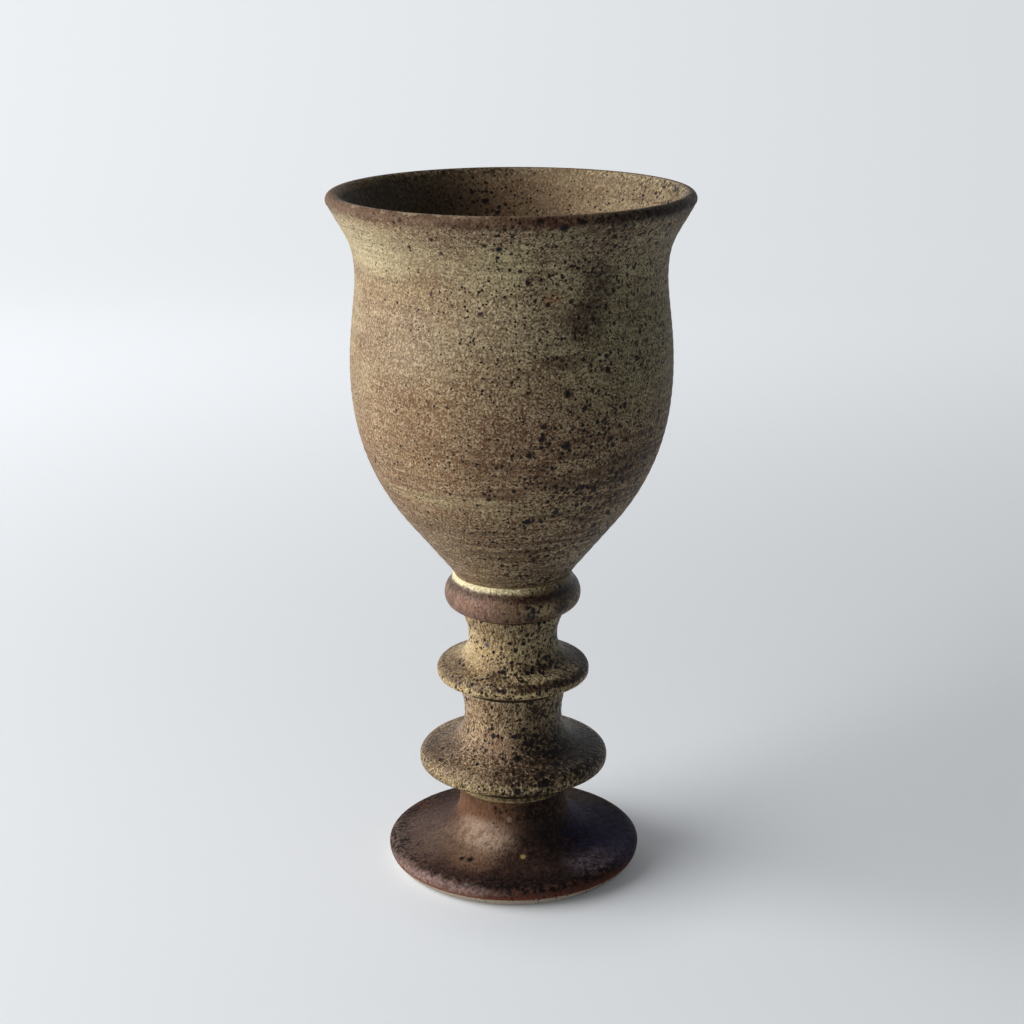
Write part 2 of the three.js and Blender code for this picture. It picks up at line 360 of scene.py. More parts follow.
def patch(put, place, turn, height, reach, wide, tall):  # a blot, by turn from the front, height and radius
    angle = math.radians(turn)
    centre = Vector((math.sin(angle) * reach, -math.cos(angle) * reach, height)) * mm
    away = put("ShaderNodeVectorMath", {0: place, 1: centre}, "SUBTRACT")[0]
    shaped = put(
        "ShaderNodeVectorMath",
        {0: away, 1: (1 / (wide * mm), 1 / (wide * mm), 1 / (tall * mm))}, "MULTIPLY",
    )[0]
    distance = put("ShaderNodeVectorMath", {0: shaped}, "LENGTH")["Value"]
    return put(
        "ShaderNodeMapRange",
        {"Value": distance, "From Min": maskCut["patchCore"], "From Max": maskCut["patchRim"],
         "To Min": 1.0, "To Max": 0.0}, **smooth,
    )[0]


def wash(put, under, tint, strength, *masks):  # lays a colour over what is there, as far as all masks show
    amount = masks[0]
    for share in (*masks[1:], strength):
        amount = put("ShaderNodeMath", {0: amount, 1: share}, "MULTIPLY")[0]
    return put("ShaderNodeMix", {0: amount, 6: under, 7: linear(tint)}, data_type="RGBA")[2]


# Stoneware glaze: a satin ash glaze over iron-bearing clay. The eye gets a fine cream and brown grain,
# dark iron spots bled up from the body, and rust where the glaze runs thin over an edge.

def stonewareGlaze(name, look):
    material = bpy.data.materials.new(name)
    material.use_nodes = True
    tree = material.node_tree
    tree.nodes.clear()
    put = partial(addNode, tree)
    seed = look["seed"]
    place = put("ShaderNodeTexCoord")["Object"]
    level = put("ShaderNodeSeparateXYZ", {0: place})[2]

    def blots(colour, marks, where, *masks):  # the look's patches of one sort, laid one after another
        for *blot, tint, strength in look[marks]:
            colour = wash(put, colour, tint, strength, patch(put, where, *blot), *masks)
        return colour

    def clouds(kind, where):  # one of the kinds above, at the size that the look gives it
        low, high, apart, detail, stretch = cloudKinds[kind]
        return cloud(put, where, look[kind + "Size"], low, high, seed + apart, detail, stretch)

    # ragged places give the washes their uneven edges, and frayed places give the spots theirs
    noises, moved, middle = {}, {}, maskCut["noiseMiddle"]
    for edge in ("ragged", "frayed"):
        noises[edge] = put(
            "ShaderNodeTexNoise",
            {"Vector": place, "Scale": 1 / (look[edge + "Size"] * mm), "Detail": look[edge + "Detail"]},
        )
        centred = put("ShaderNodeVectorMath", {0: noises[edge][1], 1: (middle,) * 3}, "SUBTRACT")[0]
        moved[edge] = put(
            "ShaderNodeVectorMath", {0: centred, 1: (2 * look[edge] * mm,) * 3, 2: place},
            "MULTIPLY_ADD",
        )[0]
    ragged, frayed, tear = moved["ragged"], moved["frayed"], noises["frayed"][0]
    height = put("ShaderNodeSeparateXYZ", {0: ragged})[2]
    wander = put("ShaderNodeMath", {0: tear, 1: middle}, "SUBTRACT")[0]
    border = put("ShaderNodeMath", {0: wander, 1: 2 * look["edgeWander"] * mm, 2: level}, "MULTIPLY_ADD")[0]
    torn = put(
        "ShaderNodeMapRange",
        {"Value": tear, "From Min": look["tornFrom"], "From Max": look["tornTo"],
         "To Min": look["tornLeast"]},
    )[0]

    # the side turned away from the lamp is darker and more spotted: partly kiln flashing, partly painted
    # shade
    flat = put("ShaderNodeVectorMath", {0: place, 1: (1, 1, 0)}, "MULTIPLY")[0]
    radius = put("ShaderNodeVectorMath", {0: flat}, "LENGTH")["Value"]
    outward = put("ShaderNodeVectorMath", {0: flat}, "NORMALIZE")[0]
    flashAndShadeAngle = math.radians(look["flashAndShadeTurn"])
    facing = put(
        "ShaderNodeVectorMath", {0: outward, 1: (math.sin(flashAndShadeAngle), -math.cos(flashAndShadeAngle), 0)},
        "DOT_PRODUCT",
    )["Value"]
    flashAndShade = put(
        "ShaderNodeMapRange", {"Value": facing, "From Min": look["flashAndShadeFrom"], "From Max": look["flashAndShadeTo"]},
        **smooth,
    )[0]
    flashAndShadeShares = {
        part: put(
            "ShaderNodeMapRange",
            {"Value": flashAndShade, "To Min": look[part + "Left"], "To Max": look[part + "Right"]},
        )[0] for part in ("speck", "pale", "dark", "streak")
    }

    # below a height the outside was trimmed on the wheel
    trimmed = {
        part: put(
            "ShaderNodeMapRange",
            {"Value": level, "From Min": (look["trimmedBelow"] - look["trimSoft"]) * mm,
             "From Max": (look["trimmedBelow"] + look["trimSoft"]) * mm,
             "To Min": look[part + "Trimmed"], "To Max": look[part + "Plain"]},
        )[0] for part in ("speck", "streak")
    }

    # the iron spots come in loose clusters
    uneven = put(
        "ShaderNodeMapRange",
        {"Value": clouds("cluster", place), "To Min": look["clusterLeast"], "To Max": look["clusterMost"]},
    )[0]
    thick = flashAndShadeShares["speck"]
    for share in (uneven, trimmed["speck"]):
        thick = put("ShaderNodeMath", {0: thick, 1: share}, "MULTIPLY")[0]
    if look["inside"]:
        within = put("ShaderNodeAttribute", attribute_name="within")["Fac"]
        gathered = put(
            "ShaderNodeMapRange",
            {"Value": patch(put, place, *look["speckInside"]),
             "To Min": look["insideLeast"], "To Max": look["insideMost"]},
        )[0]
        sheltered = put("ShaderNodeMath", {0: within, 1: gathered}, "MULTIPLY")[0]
        thick = put("ShaderNodeMath", {0: thick, 1: sheltered}, "MAXIMUM")[0]
        patchy = put(
            "ShaderNodeMapRange",
            {"Value": torn, "To Min": look["patchyLeast"], "To Max": look["patchyMost"]},
        )[0]

    # the grain lies evenly on the bowl and is drawn out along the profile of the narrow pieces
    grainPlace = place
    if look["drawn"] < 1:
        fall = put("ShaderNodeMath", {0: height, 1: radius}, "SUBTRACT")[0]
        along = put("ShaderNodeMath", {0: fall, 1: look["drawn"]}, "MULTIPLY")[0]
        around = put("ShaderNodeVectorMath", {0: outward, "Scale": look["grainRadius"] * mm}, "SCALE")[0]
        lift = put("ShaderNodeCombineXYZ", {2: along})[0]
        grainPlace = put("ShaderNodeVectorMath", {0: around, 1: lift}, "ADD")[0]

    # the ground: two tones, brown blotches, the tint and dark clouds of the side away from the lamp (kiln
    # flashing and painted shade), then rings and patches
    colour = put(
        "ShaderNodeMix",
        {0: clouds("cloud", place), 6: linear(look["ground"]), 7: linear(look["second"])}, data_type="RGBA",
    )[2]
    colour = wash(put, colour, look["blotch"], look["blotchStrength"], clouds("blotch", place))
    colour = wash(put, colour, look["flashAndShadeTint"], look["flashAndShadeStrength"], flashAndShade)
    colour = wash(put, colour, look["smoke"], look["smokeStrength"], clouds("smoke", ragged), flashAndShade)
    for *where, tint, strength in look["bands"]:
        colour = wash(put, colour, tint, strength, band(put, height, *where))
    colour = blots(colour, "patches", ragged)

    # each grain fires to its own tone and hue, in loose drifts
    grains = put(
        "ShaderNodeTexVoronoi", {"Vector": grainPlace, "Scale": 1 / (look["grainSize"] * mm)}, feature="F1",
    )
    shades = put("ShaderNodeSeparateColor", {0: grains["Color"]})
    drift = clouds("drift", grainPlace)
    tone = put("ShaderNodeMix", {0: look["drift"], 2: shades[0], 3: drift}, data_type="FLOAT")[0]
    grain = {
        part: put(
            "ShaderNodeMapRange",
            {"Value": shade, "From Min": look[part + "From"], "From Max": look[part + "To"]},
        )[0] for part, shade in (("cool", shades[1]), ("pale", tone), ("dark", tone))
    }
    colour = wash(put, colour, look["coolGrain"], look["coolStrength"], grain["cool"])
    for part in ("pale", "dark"):
        colour = wash(put, colour, look[part + "Grain"], 1.0, grain[part], flashAndShadeShares[part])

    # turning lines, stronger where the outside was trimmed
    streak = clouds("streak", place)
    colour = wash(put, colour, look["streak"], 1.0, streak, trimmed["streak"], flashAndShadeShares["streak"])

    # marks on top: stains (on the foot partly painted shadow and sheen), rings outside a radius or inside a
    # negative one, flecks, edge stains (partly painted highlight, sheen and shade), the painted shade inside
    # the cup, and spots
    # stains, with painted shadow and sheen among them on the foot
    colour = blots(colour, "stainsShadowAndSheen", ragged, torn)
    for low, high, soft, limit, tint, strength in look["overBands"]:
        masks = [band(put, border, low, high, soft)]
        if limit:
            side = math.copysign(look["limitSoft"], limit)
            beyond = put(
                "ShaderNodeMapRange",
                {"Value": radius, "From Min": (abs(limit) - side) * mm, "From Max": (abs(limit) + side) * mm},
            )[0]
            masks.append(beyond)
        colour = wash(put, colour, tint, strength, *masks)
    for low, high, soft, size, threshold, fromFlashAndShade, tint, strength in look["flecks"]:
        flake = cloud(put, place, size, threshold, threshold + look["fleckEdge"], seed + low)
        share = put("ShaderNodeMapRange", {"Value": flashAndShade, "To Min": 1 - fromFlashAndShade})[0]
        colour = wash(put, colour, tint, strength, flake, band(put, height, low, high, soft), share)
    # edge stains, with painted highlight, sheen and shade among them
    colour = blots(colour, "edgeStainsSheenAndShade", ragged, torn)
    # painted shade inside the cup
    if look["inside"]:
        colour = blots(colour, "inside", frayed, within, patchy)
    for spacing, small, large, rarity, tint, strength in look["specks"]:
        spot = specks(put, frayed, spacing, small, large, rarity, thick, seed + spacing)
        colour = wash(put, colour, tint, strength, spot)
    colour = blots(colour, "spots", frayed)

    # orange peel, grain and pits in the surface
    peel = clouds("peel", place)
    roughness = put(
        "ShaderNodeMapRange",
        {"Value": peel, "To Min": look["roughness"] - look["roughSpread"],
         "To Max": look["roughness"] + look["roughSpread"]},
    )[0]
    relief = peel
    for bumps, share in ((drift, look["grainRelief"]), (clouds("pit", place), look["pitRelief"])):
        relief = put("ShaderNodeMath", {0: bumps, 1: share, 2: relief}, "MULTIPLY_ADD")[0]
    bump = put("ShaderNodeBump", {"Height": relief, "Distance": look["relief"] * mm, "Strength": 1.0})[0]
    shader = put(
        "ShaderNodeBsdfPrincipled",
        {"Base Color": colour, "Roughness": roughness, "IOR": look["ior"],
         "Specular IOR Level": look["gloss"], "Normal": bump},
    )[0]
    put("ShaderNodeOutputMaterial", {0: shader})
    return material


baseLook = {  # what all the glazes share
    "seed": 1.0, "ground": "#ab9472", "second": "#997b58", "cloudSize": 14.0,
    "blotch": "#755338", "blotchSize": 4.5, "blotchStrength": 0.55,
    "flashAndShadeTurn": 62.0, "flashAndShadeFrom": -0.15, "flashAndShadeTo": 0.95, "flashAndShadeTint": "#aea277", "flashAndShadeStrength": 0.5,
    "smoke": "#452c23", "smokeSize": 7.0, "smokeStrength": 0.55,
    "raggedSize": 2.2, "raggedDetail": 3.0, "ragged": 1.0,
    "frayedSize": 0.9, "frayedDetail": 4.0, "frayed": 0.3,
    "edgeWander": 0.0, "tornFrom": 0.36, "tornTo": 0.6, "tornLeast": 0.25,
    "drawn": 1.0, "grainRadius": 20.0, "grainSize": 0.36, "driftSize": 1.6, "drift": 0.12,
    "coolGrain": "#8a7f76", "coolFrom": 0.55, "coolTo": 1.0, "coolStrength": 0.25,
    "paleGrain": "#e8d8b0", "paleFrom": 0.45, "paleTo": 1.0, "paleLeft": 0.6, "paleRight": 0.55,
    "darkGrain": "#3a2922", "darkFrom": 0.55, "darkTo": 0.05, "darkLeft": 0.42, "darkRight": 0.95,
    "streak": "#5b4432", "streakSize": 1.5, "streakLeft": 0.8, "streakRight": 1.7,
    "trimmedBelow": 0.0, "trimSoft": 8.0, "streakTrimmed": 0.2, "streakPlain": 0.2,
    "speckTrimmed": 1.0, "speckPlain": 1.0, "speckLeft": 0.62, "speckRight": 1.05,
    "clusterSize": 7.0, "clusterLeast": 0.75, "clusterMost": 1.15,
    "specks": [
        (1.0, 0.17, 0.42, 1.2, "#2a1a16", 0.94),
        (1.6, 0.26, 0.57, 1.2, "#170f0e", 0.98),
        (3.2, 0.37, 0.70, 1.4, "#131014", 0.98),
        (8.5, 0.55, 0.98, 1.4, "#0e0c10", 0.98),
    ],
    "bands": [], "patches": [], "stainsShadowAndSheen": [], "overBands": [], "limitSoft": 0.4,
    "flecks": [], "fleckEdge": 0.1, "edgeStainsSheenAndShade": [], "inside": [], "spots": [],
    "peelSize": 1.6, "pitSize": 0.6, "grainRelief": 0.7, "pitRelief": 1.6, "relief": 0.055,
    "roughness": 0.55, "roughSpread": 0.06, "ior": 1.5, "gloss": 0.13,
}

bowlSize = {
    "coneReach": 11.0, "coneRise": 13.75, "coneHandle": 5.0, "coneLeave": 0.47,
    "bellyRadius": 38.65, "bellyBelowThroat": 22.0, "bellyArrive": 0.28, "bellyLeave": 0.43,
    "throatDepth": 1.65, "throatBelowRim": 19.4, "throatArrive": 0.25,
    "lipRoll": 1.65, "lipFlare": 62.0, "lipArrive": 0.49,
    "throatWall": 3.5, "bellyWall": 4.2, "floorThickness": 8.0, "floorFlat": 15.0, "cupLeave": 0.62,
    "outsideStep": 0.62, "lipStep": 0.3, "insideStep": 1.0,
}


def bowlOutline(size):
    reach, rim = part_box("bowl")[1].x / mm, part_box("bowl")[1].z / mm
    seam = Vector((bowlSeam[2], bowlSeam[1] + joint["groove"]))
    cone = Vector((bowlSeam[2] + size["coneReach"], bowlSeam[1] + size["coneRise"]))
    throat = Vector((size["bellyRadius"] - size["throatDepth"], rim - size["throatBelowRim"]))
    belly = Vector((size["bellyRadius"], throat.y - size["bellyBelowThroat"]))
    bellyRise = belly.y - cone.y
    throatRise = throat.y - belly.y
    up, step = Vector((0, 1)), size["outsideStep"]

    flare, roll = math.radians(size["lipFlare"]), size["lipRoll"]
    lipCentre = Vector((reach - roll, rim - roll))
    across = Vector((math.sin(flare), -math.cos(flare))) * roll
    lipOutside, lipInside = lipCentre + across, lipCentre - across
    lipHandle = (lipOutside.y - throat.y) * size["lipArrive"]
    flareWay = Vector((math.cos(flare), math.sin(flare))) * lipHandle
    lip = arc(lipCentre, roll, roll, size["lipFlare"] - 90, 90, size["lipStep"])
    lip += arc(lipCentre, roll, roll, 90, size["lipFlare"] + 90, size["lipStep"])

    straight = (cone - seam).normalized()
    coneHandle = straight * size["coneHandle"]
    leaveCone, reachBelly = straight * bellyRise * size["coneLeave"], up * bellyRise * size["bellyArrive"]
    leaveBelly, reachThroat = up * throatRise * size["bellyLeave"], up * throatRise * size["throatArrive"]
    outside = (
        sweep(seam, coneHandle, coneHandle, cone, step)
        + sweep(cone, leaveCone, reachBelly, belly, step)
        + sweep(belly, leaveBelly, reachThroat, throat, step)
        + sweep(throat, up * lipHandle, flareWay, lipOutside, step)
    )

    step = size["insideStep"]
    throatInside = Vector((throat.x - size["throatWall"], throat.y))
    bellyInside = Vector((belly.x - size["bellyWall"], belly.y))
    floor = Vector((0, bowlSeam[1] + size["floorThickness"]))
    leaveCup = -up * (bellyInside.y - floor.y) * size["cupLeave"]
    inside = (
        sweep(lipInside, -flareWay, -up * lipHandle, throatInside, step)
        + sweep(throatInside, -reachThroat, -leaveBelly, bellyInside, step)
        + sweep(bellyInside, leaveCup, Vector((-size["floorFlat"], 0)), floor, step)
    )
    outline = socketSeat(0.0, bowlSeam) + worked(outside, "thrown") + worked(lip, "smooth")
    return outline + worked(inside, "inside", 1.0)


ringCurve = {
    "edgeTurn": 75.0, "coveLeave": 0.55, "coveArrive": 0.77, "flareLeave": 0.5, "flareArrive": 0.2,
    "rollLeave": 0.88, "rollArrive": 0.72, "bead": 0.0,
}

lowerRing = ringCurve | {
    "radius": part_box("lower_stem")[1].x / mm, "widestAt": footSeam[1] + 5.3, "undercut": 32.0,
    "edgeWidth": 3.7, "edgeHeight": 2.8, "neckInset": 1.05, "neckDrop": 7.55, "step": 0.35,
}

upperRing = ringCurve | {
    "radius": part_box("upper_stem")[1].x / mm, "widestAt": stemSeam[1] + 3.8, "undercut": 23.5,
    "edgeWidth": 2.3, "edgeHeight": 2.2, "neckInset": 1.45, "neckDrop": 6.2, "step": 0.3,
}

footRing = ringCurve | {
    "radius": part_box("foot")[1].x / mm, "widestAt": 4.3,
    "edgeWidth": 3.5, "edgeHeight": 2.0, "neckInset": 0.9, "neckDrop": 5.0, "step": 0.4,
    "bead": 0.6, "beadTurn": (-90, 60), "crease": 0.6,
    "baseInset": 4.0, "baseLeave": 0.45, "baseArrive": 0.55,
    "baseRing": 4.5, "recessRun": 1.5, "recessRise": 1.75, "recessDepth": 3.5,
}

collarSize = {
    "radius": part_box("collar_ring")[1].x / mm, "widestAt": collarSeam[1] + 4.0, "underLeave": 0.6,
    "underArrive": 0.55, "shoulderReach": 0.6, "shoulderDrop": 1.75, "fullness": 0.55, "overArrive": 0.2,
    "step": 0.25,
}


def stemOutline(ring, seamUnder, seamOver):
    outline = socketSeat(joint["bore"], seamUnder) + ringUnderside(ring, seamUnder)
    outline += ringTop(ring, seamOver) + spigotTop(seamOver)
    return outline + outline[:1]


def footOutline(foot):
    base = Vector((foot["radius"] - foot["baseInset"], 0))
    brim = Vector((foot["radius"], foot["widestAt"]))
    recess = base.x - foot["baseRing"]
    outline = hidden(
        (joint["bore"], foot["recessDepth"]),
        (recess - foot["recessRun"], foot["recessRise"]),
        (recess, 0), (base.x, 0),
    )
    leave = Vector((foot["baseInset"] * foot["baseLeave"], 0))
    arrive = Vector((0, foot["widestAt"] * foot["baseArrive"]))
    outline += worked(sweep(base, leave, arrive, brim, foot["step"]), "trimmed")
    outline += ringTop(foot, footSeam) + spigotTop(footSeam)
    return outline + outline[:1]


def collarOutline(collar):
    start = Vector((collarSeam[2], collarSeam[1] + joint["groove"]))
    widest = Vector((collar["radius"], collar["widestAt"]))
    shoulder = Vector((bowlSeam[2] + collar["shoulderReach"], bowlSeam[0] - collar["shoulderDrop"]))
    ledge = Vector((bowlSeam[2], bowlSeam[0] - joint["groove"]))
    leave = Vector(((widest.x - start.x) * collar["underLeave"], 0))
    arrive = Vector((0, (widest.y - start.y) * collar["underArrive"]))
    under = sweep(start, leave, arrive, widest, collar["step"])
    rise, run, full = shoulder.y - widest.y, shoulder.x - widest.x, collar["fullness"]
    arrive = Vector((run * full, rise * collar["overArrive"]))
    over = sweep(widest, Vector((0, rise * full)), arrive, shoulder, collar["step"])
    outline = socketSeat(joint["bore"], collarSeam) + worked(under + over, "trimmed")
    outline += worked([ledge], "smooth") + spigotTop(bowlSeam)
    return outline + outline[:1]


wheelHand = {
    "facets": 240, "lineSpacing": 2.4, "lineDepth": 0.12, "unevenness": 0.12, "unevenSize": 14.0, "seed": 0.0,
}

bowlLook = baseLook | {
    "trimmedBelow": 116, "streakSize": 1.1, "streakTrimmed": 0.5, "streakPlain": 0.25, "speckTrimmed": 1.2,
    "speckInside": (192, 160, 35.4, 17, 14), "insideLeast": 0.62, "insideMost": 1.15,
    "patchyLeast": 0.6, "patchyMost": 1.05, "edgeWander": 1.6,
    "paleLeft": 0.5, "darkLeft": 0.34, "paleRight": 0.6, "flashAndShadeTint": "#bdb28c", "speckLeft": 0.58,
    "bands": [
        (92, 128, 12, "#89603f", 0.65),
        (70, 98, 7, "#74553a", 0.55),
        (164, 167, 1.4, "#7a5a44", 0.55),
    ],
    "patches": [
        (2.6, 119.9, 38.1, 16, 13, "#704830", 0.58),
        (10, 133, 38.6, 25, 9, "#76502f", 0.3),
        (-45, 140, 38, 20, 13, "#9b8069", 0.4),
        (0.8, 158, 38.4, 14, 8, "#c4b486", 0.72),
        (-58, 160, 39, 27, 9.5, "#cfbe94", 0.72),
        (48, 140, 38.4, 26, 24, "#ada276", 0.7),
        (10, 160.5, 39.2, 5, 3, "#6e4d37", 0.7),
        (9.3, 156, 37.5, 5, 3.4, "#6e4d37", 0.6),
        (33.7, 162, 40, 8, 3.2, "#66503a", 0.6),
        (13.8, 150.9, 37, 2.8, 2.4, "#a06535", 0.6),
        (16.8, 165.6, 42, 10, 1.8, "#b0a782", 0.8),
        (-22, 103.2, 33.5, 26, 2.5, "#cbb686", 0.55),
        (20, 101, 32, 24, 2.4, "#a8946c", 0.5),
        (-5, 92, 27, 16, 2.4, "#6a4430", 0.5),
    ],
    "stainsShadowAndSheen": [
        (31.9, 154.9, 37.3, 6.6, 6.4, "#33211a", 0.8),
        (28.5, 150, 37, 5.6, 5, "#3a241d", 0.55),
        (25.2, 144.9, 37.4, 8, 7.4, "#311d18", 0.85),
        (18, 137, 38.2, 9, 2.4, "#432a20", 0.65),
        (42, 107, 34.5, 16, 1.5, "#2b1e18", 0.8),
        (36, 103.6, 33.5, 12, 1.1, "#2b1e18", 0.75),
        (30, 100.6, 32, 12, 0.9, "#33241b", 0.7),
        (52, 112, 36.5, 12, 4.5, "#2f261c", 0.55),
    ],
    "overBands": [(167.4, 172, 1.1, 41.2, "#5f4231", 0.78)],
    "edgeStainsSheenAndShade": [
        # a painted highlight along the front-left inner edge of the lip
        (-34, 170.2, 40.5, 33, 0.6, "#c0ac90", 0.7),
        (207, 169.4, 41, 36, 2.6, "#231c17", 0.95),
        (9, 168.6, 43, 10, 2.2, "#43231a", 0.85),
        (52, 168.9, 43, 27, 2.6, "#191812", 1),
        (28, 166.2, 42.3, 8, 1.6, "#4a3a29", 0.7),
        (-12, 168.2, 43, 9, 1.4, "#4a2d22", 0.6),
    ],
    "flecks": [(166.4, 169.4, 0.5, 1, 0.52, 0.8, "#1d1211", 0.9)],
    "spots": [
        (-3.8, 162.6, 40.3, 1.2, 1.1, "#100c0e", 1),
        (-8.2, 163.5, 40.8, 0.9, 0.8, "#1a1211", 1),
        (15.4, 167.5, 43, 1.6, 1.3, "#100b0b", 1),
        (8.2, 169.2, 43, 1.3, 1, "#140d0b", 0.95),
        (20.5, 168.6, 43, 1.5, 1, "#100b0b", 0.95),
        (-33.7, 168.5, 43, 1, 0.8, "#2a1917", 0.9),
        (-24.7, 164.4, 41.3, 0.9, 0.8, "#2a1a1c", 0.95),
        (-22.7, 161.2, 39.4, 0.8, 0.8, "#2a1a1c", 0.95),
        (-33.8, 162.2, 40, 0.8, 0.8, "#2a1a1c", 0.95),
        (-28.5, 151.7, 37, 0.7, 0.9, "#4d3038", 0.9),
        (-10.7, 147.8, 37.1, 0.9, 0.8, "#33232a", 0.9),
        (18.8, 130, 38.6, 1.3, 1.4, "#100c0f", 1),
        (18.9, 117.9, 37.8, 1.3, 1.4, "#100c0f", 1),
        (10.4, 120, 38.2, 1.1, 1.1, "#1a1412", 1),
        (10.6, 122.8, 38.4, 1.1, 0.9, "#1a1412", 1),
        (0.7, 96.6, 29.8, 1, 0.7, "#1a1412", 1),
        (-8.9, 104.8, 34.1, 0.9, 0.8, "#1a1412", 1),
    ],
    # painted shade inside the cup: all of it a little darker, the left wall near-black where the rim shades
    # it, and the far wall darker
    "inside": [
        (0, 150, 0, 120, 120, "#8a7350", 0.3),
        (-115, 162, 34, 44, 30, "#262521", 0.85),
        (205, 162, 35.5, 15, 9, "#3a2b20", 0.75),
        (178, 160, 35, 18, 12, "#5a4230", 0.6),
    ],
}

collarLook = baseLook | {
    "seed": 5, "drawn": 0.5, "grainRadius": 16, "ground": "#8a6453", "second": "#735042",
    "blotchStrength": 0.2, "flashAndShadeTint": "#5a3d2d", "flashAndShadeStrength": 0.4, "smokeSize": 6, "smoke": "#2c1c16",
    "paleLeft": 0.16, "paleRight": 0.1, "darkLeft": 0.5, "darkRight": 0.75, "coolStrength": 0.2,
    "speckLeft": 0.35, "speckRight": 1.15, "roughness": 0.42, "gloss": 0.2,
    "raggedSize": 1.2, "ragged": 0.7, "edgeWander": 0.5,
    "bands": [(73.8, 75.6, 0.8, "#412b1f", 0.8), (75.45, 78, 0.4, "#fff0be", 1)],
    "stainsShadowAndSheen": [
        (22, 73.8, 16.1, 10, 1.3, "#331b15", 0.9),
        (85, 72, 16.9, 10, 5, "#33261f", 0.8),
    ],
    "overBands": [(75.45, 78, 0.6, 0, "#fff0c0", 0.34)],
    "edgeStainsSheenAndShade": [
        (26, 71.3, 16.8, 6, 2, "#b3a076", 0.9),
        (14.4, 70.1, 16.7, 2.4, 2.2, "#120d0c", 1),
        (56.2, 74.1, 15.9, 6.5, 2.2, "#15100f", 1),
        (46, 71.4, 16.8, 4, 2.6, "#15100f", 0.9),
        (22, 74, 16, 8, 1, "#2b1611", 0.9),
        (28, 75.7, 15.2, 7, 1.3, "#8a7650", 0.7),
        (52, 75.8, 15.2, 10, 1.4, "#6b5a40", 0.9),
        (85, 75.8, 15.2, 9, 1.6, "#5a4a36", 0.85),
    ],
    "flecks": [
        (69, 73.8, 1, 1, 0.47, 1, "#96845c", 0.6),
        (75.2, 77.4, 0.3, 0.8, 0.5, 0.6, "#5f4830", 0.7),
    ],
}

stemSpecks = [
    (0.85, 0.17, 0.38, 1, "#2f1f18", 0.94),
    (1.4, 0.24, 0.52, 1.2, "#190f0e", 0.98),
    (3.2, 0.42, 0.80, 1.2, "#131014", 0.98),
]

upperStemLook = baseLook | {
    "seed": 3, "drawn": 0.6, "grainRadius": 19, "ground": "#ccb285", "second": "#b89867",
    "smokeSize": 5, "smokeStrength": 0.4, "paleGrain": "#efdfb2", "paleLeft": 0.66, "paleRight": 0.66,
    "darkGrain": "#3a2920", "darkRight": 0.74, "raggedSize": 1.4, "ragged": 0.6, "roughness": 0.5,
    "speckLeft": 0.95, "speckRight": 1.4, "specks": stemSpecks,
    "bands": [
        (52, 54.2, 0.9, "#6d523c", 0.5),
        (47, 51.4, 0.5, "#c8aa78", 0.65),
    ],
    "stainsShadowAndSheen": [
        (-75, 53.4, 16.5, 11, 2.6, "#6b5646", 0.8),
        (16.2, 55.1, 13.2, 2.2, 2.6, "#17110f", 1),
        (31, 54.8, 13.6, 3.6, 1.9, "#1d1512", 0.9),
        (-16, 54.2, 14.8, 3.2, 1, "#2c1f1a", 0.75),
        (85, 54, 15, 7, 2.8, "#33302b", 0.7),
        (20, 64.6, 11.8, 8, 1.4, "#3a2a1f", 0.35),
    ],
    "flecks": [
        (51.5, 53.2, 0.4, 2.8, 0.42, 0.5, "#43261b", 0.85),
        (51.6, 53.2, 0.4, 1.2, 0.45, 0.85, "#1a110f", 0.95),
        (47.2, 48.4, 0.4, 1.1, 0.5, 0.3, "#33231b", 0.8),
    ],
    "spots": [
        (-34.8, 60.3, 11.1, 1, 0.9, "#4f5360", 0.95),
        (-3.6, 61.4, 11.2, 1.1, 0.8, "#17110f", 1),
    ],
}

lowerStemLook = baseLook | {
    "seed": 4, "drawn": 0.7, "grainRadius": 28, "ground": "#b29168", "second": "#96724b",
    "smokeSize": 6, "paleGrain": "#ecd9b6", "paleLeft": 0.7, "darkGrain": "#33241c",
    "darkLeft": 0.6, "darkRight": 0.9, "raggedSize": 1.6, "ragged": 0.7, "roughness": 0.46,
    "speckLeft": 0.95, "speckRight": 1.5, "specks": stemSpecks,
    "bands": [
        (29.8, 33.5, 1.3, "#614635", 0.6),
        (24.5, 29.2, 1.3, "#94804f", 0.55),
        # painted shade on the ring's underside
        (22, 26.4, 0.4, "#4a3826", 0.7),
        (46.2, 48, 0.2, "#c9b98e", 0.6),
    ],
    "stainsShadowAndSheen": [
        (-84, 31.3, 18, 13, 3, "#5a483c", 0.85),
        (-20, 34.5, 13.5, 7, 3.6, "#8a6a55", 0.7),
        (40, 34, 15, 13, 6.8, "#0f0b0a", 1),
        (64, 32, 18, 15, 4.4, "#131014", 1),
        (97, 31.5, 18.2, 8, 2.6, "#1e212e", 0.9),
        (25, 43, 12.6, 4, 3.4, "#241915", 0.85),
        (8.9, 38.1, 12.4, 2, 1.8, "#1a1311", 1),
        (12, 31, 19.5, 12, 1.9, "#35241b", 0.75),
        (-4, 29.6, 22.5, 12, 1, "#4a3424", 0.5),
    ],
    "flecks": [
        (28.6, 31, 0.6, 1.1, 0.46, 0.75, "#1a1310", 0.95),
        (24.4, 27.5, 0.5, 1.1, 0.5, 0.85, "#33241a", 0.8),
    ],
    "overBands": [(46.7, 48, 0.08, 0, "#241912", 0.95)],
}

